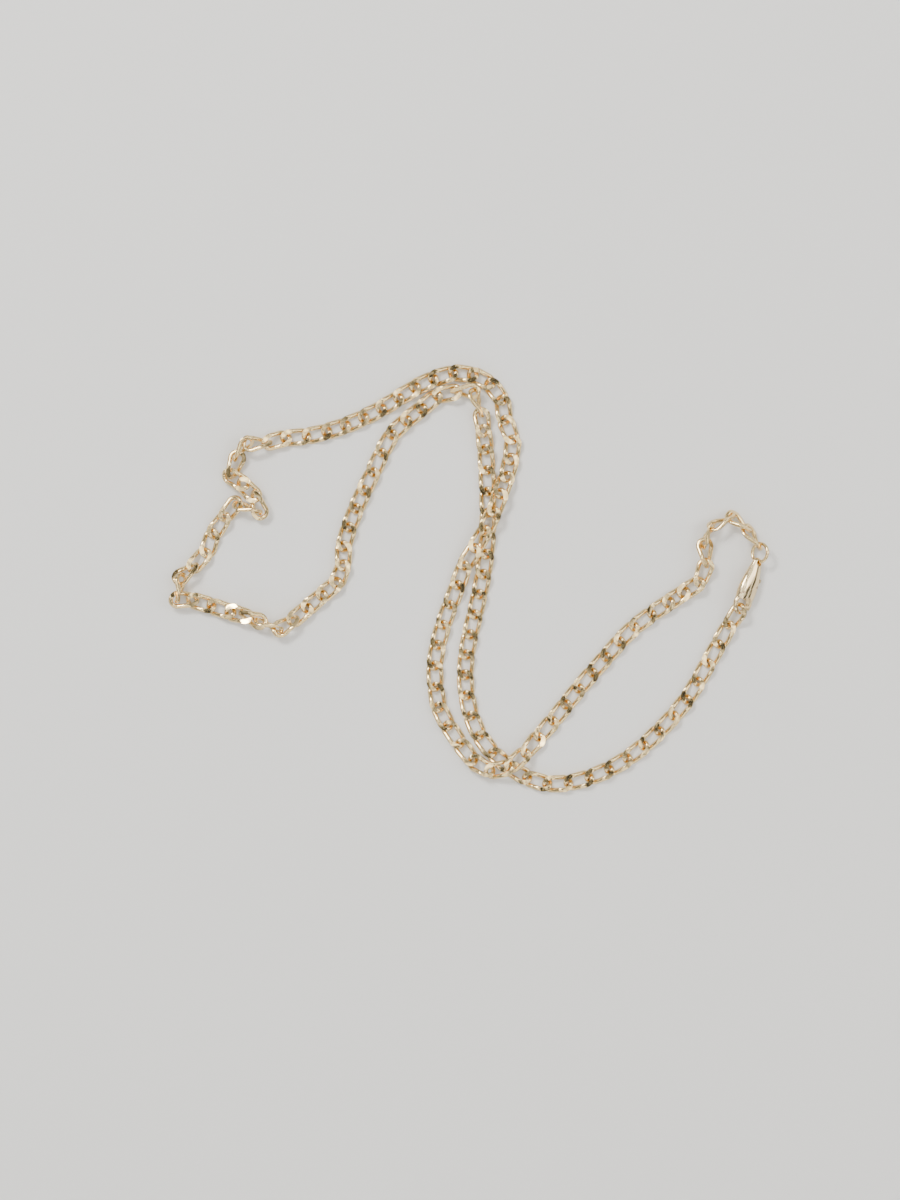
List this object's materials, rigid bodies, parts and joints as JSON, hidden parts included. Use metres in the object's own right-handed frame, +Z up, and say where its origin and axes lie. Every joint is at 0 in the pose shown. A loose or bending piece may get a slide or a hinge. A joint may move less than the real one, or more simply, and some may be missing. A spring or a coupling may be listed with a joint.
{
  "type": "curb chain necklace",
  "caption": "Gold-coloured curb chain necklace laid in loose folds, closed by a lobster clasp and a jump ring.",
  "frame": {"origin": "under the middle of the folded chain, on the plane it rests on", "axes": "+X along the length of the folded chain towards the clasp, +Y across it towards the upper fold, +Z up from the resting plane"},
  "size_m": [0.1411, 0.101, 0.0049],
  "materials": {
    "chain": "polished",
    "clasp": "polished",
    "jump_ring": "polished"
  },
  "bodies": {
    "middle": {"centre_run_links_lower": "chain", "centre_run_links_upper": "chain", "upper_crossing_links_a": "chain", "upper_crossing_links_b": "chain"},
    "right_fold_1": {"rising_run_links_c": "chain", "falling_run_links_a": "chain"},
    "right_fold_2": {"rising_run_links_b": "chain", "falling_run_links_b": "chain"},
    "right_fold_3": {"rising_run_links_a": "chain", "falling_run_links_c": "chain"},
    "right_fold_4": {"bottom_bend_links_right": "chain", "bottom_bend_links_middle": "chain", "bottom_bend_links_left": "chain", "lower_crossing_links_left": "chain", "lower_crossing_links_right": "chain"},
    "right_fold_5": {"right_side_links_d": "chain", "inner_side_links_a": "chain"},
    "right_fold_6": {"right_side_links_c": "chain", "inner_side_links_b": "chain"},
    "right_fold_7": {"right_side_links_b": "chain", "inner_side_links_c": "chain"},
    "right_fold_8": {"right_side_links_a": "chain", "inner_side_links_d": "chain"},
    "right_end": {"clasp_end_link": "chain", "right_knee_links": "chain", "jump_ring_end_links": "chain", "clasp_body": "clasp", "clasp_pivot_pin": "clasp"},
    "left_fold_1": {"top_bend_links": "chain", "top_twist_links": "chain", "top_outer_links": "chain", "top_corner_links": "chain"},
    "left_fold_2": {"left_slope_links_a": "chain", "left_slope_links_b": "chain", "left_knee_links": "chain", "left_upper_links_a": "chain", "left_upper_links_b": "chain"},
    "left_end": {"first_twist_links": "chain", "left_low_run_links": "chain", "left_end_twist_links": "chain", "left_return_links": "chain", "tangle_links_lower": "chain", "tangle_links_upper": "chain"},
    "clasp_lever": {"clasp_lever": "clasp"},
    "jump_ring": {"jump_ring": "jump_ring"}
  },
  "joints": [
    {"name": "right_fold_1_bend", "type": "hinge", "parent": "middle", "child": "right_fold_1", "pos_m": [0.00256, -0.00325, 0.00075], "axis": [-0.9129, 0.4057, 0.0451], "range_deg": [0, 20]},
    {"name": "right_fold_2_bend", "type": "hinge", "parent": "right_fold_1", "child": "right_fold_2", "pos_m": [0.00038, -0.01275, 0.00075], "axis": [-0.943, 0.3328, 0.0074], "range_deg": [-10, 12]},
    {"name": "right_fold_3_bend", "type": "hinge", "parent": "right_fold_2", "child": "right_fold_3", "pos_m": [-0.00081, -0.02225, 0.00075], "axis": [0.9543, -0.2987, -0.0066], "range_deg": [0, 20]},
    {"name": "right_fold_4_bend", "type": "hinge", "parent": "right_fold_3", "child": "right_fold_4", "pos_m": [0.00056, -0.03188, 0.00075], "axis": [-0.9333, -0.3566, 0.042], "range_deg": [0, 15]},
    {"name": "right_fold_5_bend", "type": "hinge", "parent": "right_fold_4", "child": "right_fold_5", "pos_m": [0.0375, -0.042, 0.00075], "axis": [0.7502, -0.6612, 0], "range_deg": [0, 30]},
    {"name": "right_fold_6_bend", "type": "hinge", "parent": "right_fold_5", "child": "right_fold_6", "pos_m": [0.045, -0.0355, 0.00075], "axis": [0.7532, -0.6578, 0], "range_deg": [0, 30]},
    {"name": "right_fold_7_bend", "type": "hinge", "parent": "right_fold_6", "child": "right_fold_7", "pos_m": [0.0515, -0.028, 0.00075], "axis": [0.7596, -0.6504, -0.0012], "range_deg": [0, 30]},
    {"name": "right_fold_8_bend", "type": "hinge", "parent": "right_fold_7", "child": "right_fold_8", "pos_m": [0.0565, -0.0195, 0.00075], "axis": [0.7516, -0.6596, -0.0085], "range_deg": [0, 20]},
    {"name": "right_end_bend", "type": "hinge", "parent": "right_fold_8", "child": "right_end", "pos_m": [0.0615, -0.0105, 0.0011], "axis": [0.8262, -0.5633, 0.0075], "range_deg": [0, 8]},
    {"name": "left_fold_1_bend", "type": "hinge", "parent": "middle", "child": "left_fold_1", "pos_m": [0.0043, 0.02604, 0.0009], "axis": [-0.9478, 0.311, -0.0706], "range_deg": [0, 30]},
    {"name": "left_fold_2_bend", "type": "hinge", "parent": "left_fold_1", "child": "left_fold_2", "pos_m": [-0.011, 0.0405, 0.001], "axis": [-0.2873, 0.9578, 0], "range_deg": [0, 15]},
    {"name": "left_end_bend", "type": "hinge", "parent": "left_fold_2", "child": "left_end", "pos_m": [-0.038, -0.0065, 0.001], "axis": [-0.1362, 0.9907, 0], "range_deg": [-10, 5]},
    {"name": "clasp_lever_pivot", "type": "hinge", "parent": "right_end", "child": "clasp_lever", "pos_m": [0.06704, -0.00142, 0.00142], "axis": [-0.6165, 0.2244, -0.7547], "range_deg": [0, 14], "stiffness_Nm_per_rad": 0.002, "springref_deg": -5.73},
    {"name": "jump_ring_turn", "type": "hinge", "parent": "right_end", "child": "jump_ring", "pos_m": [0.0685, 0.0065, 0.0026], "axis": [0.6698, -0.0882, -0.7373], "continuous": true}
  ]
}
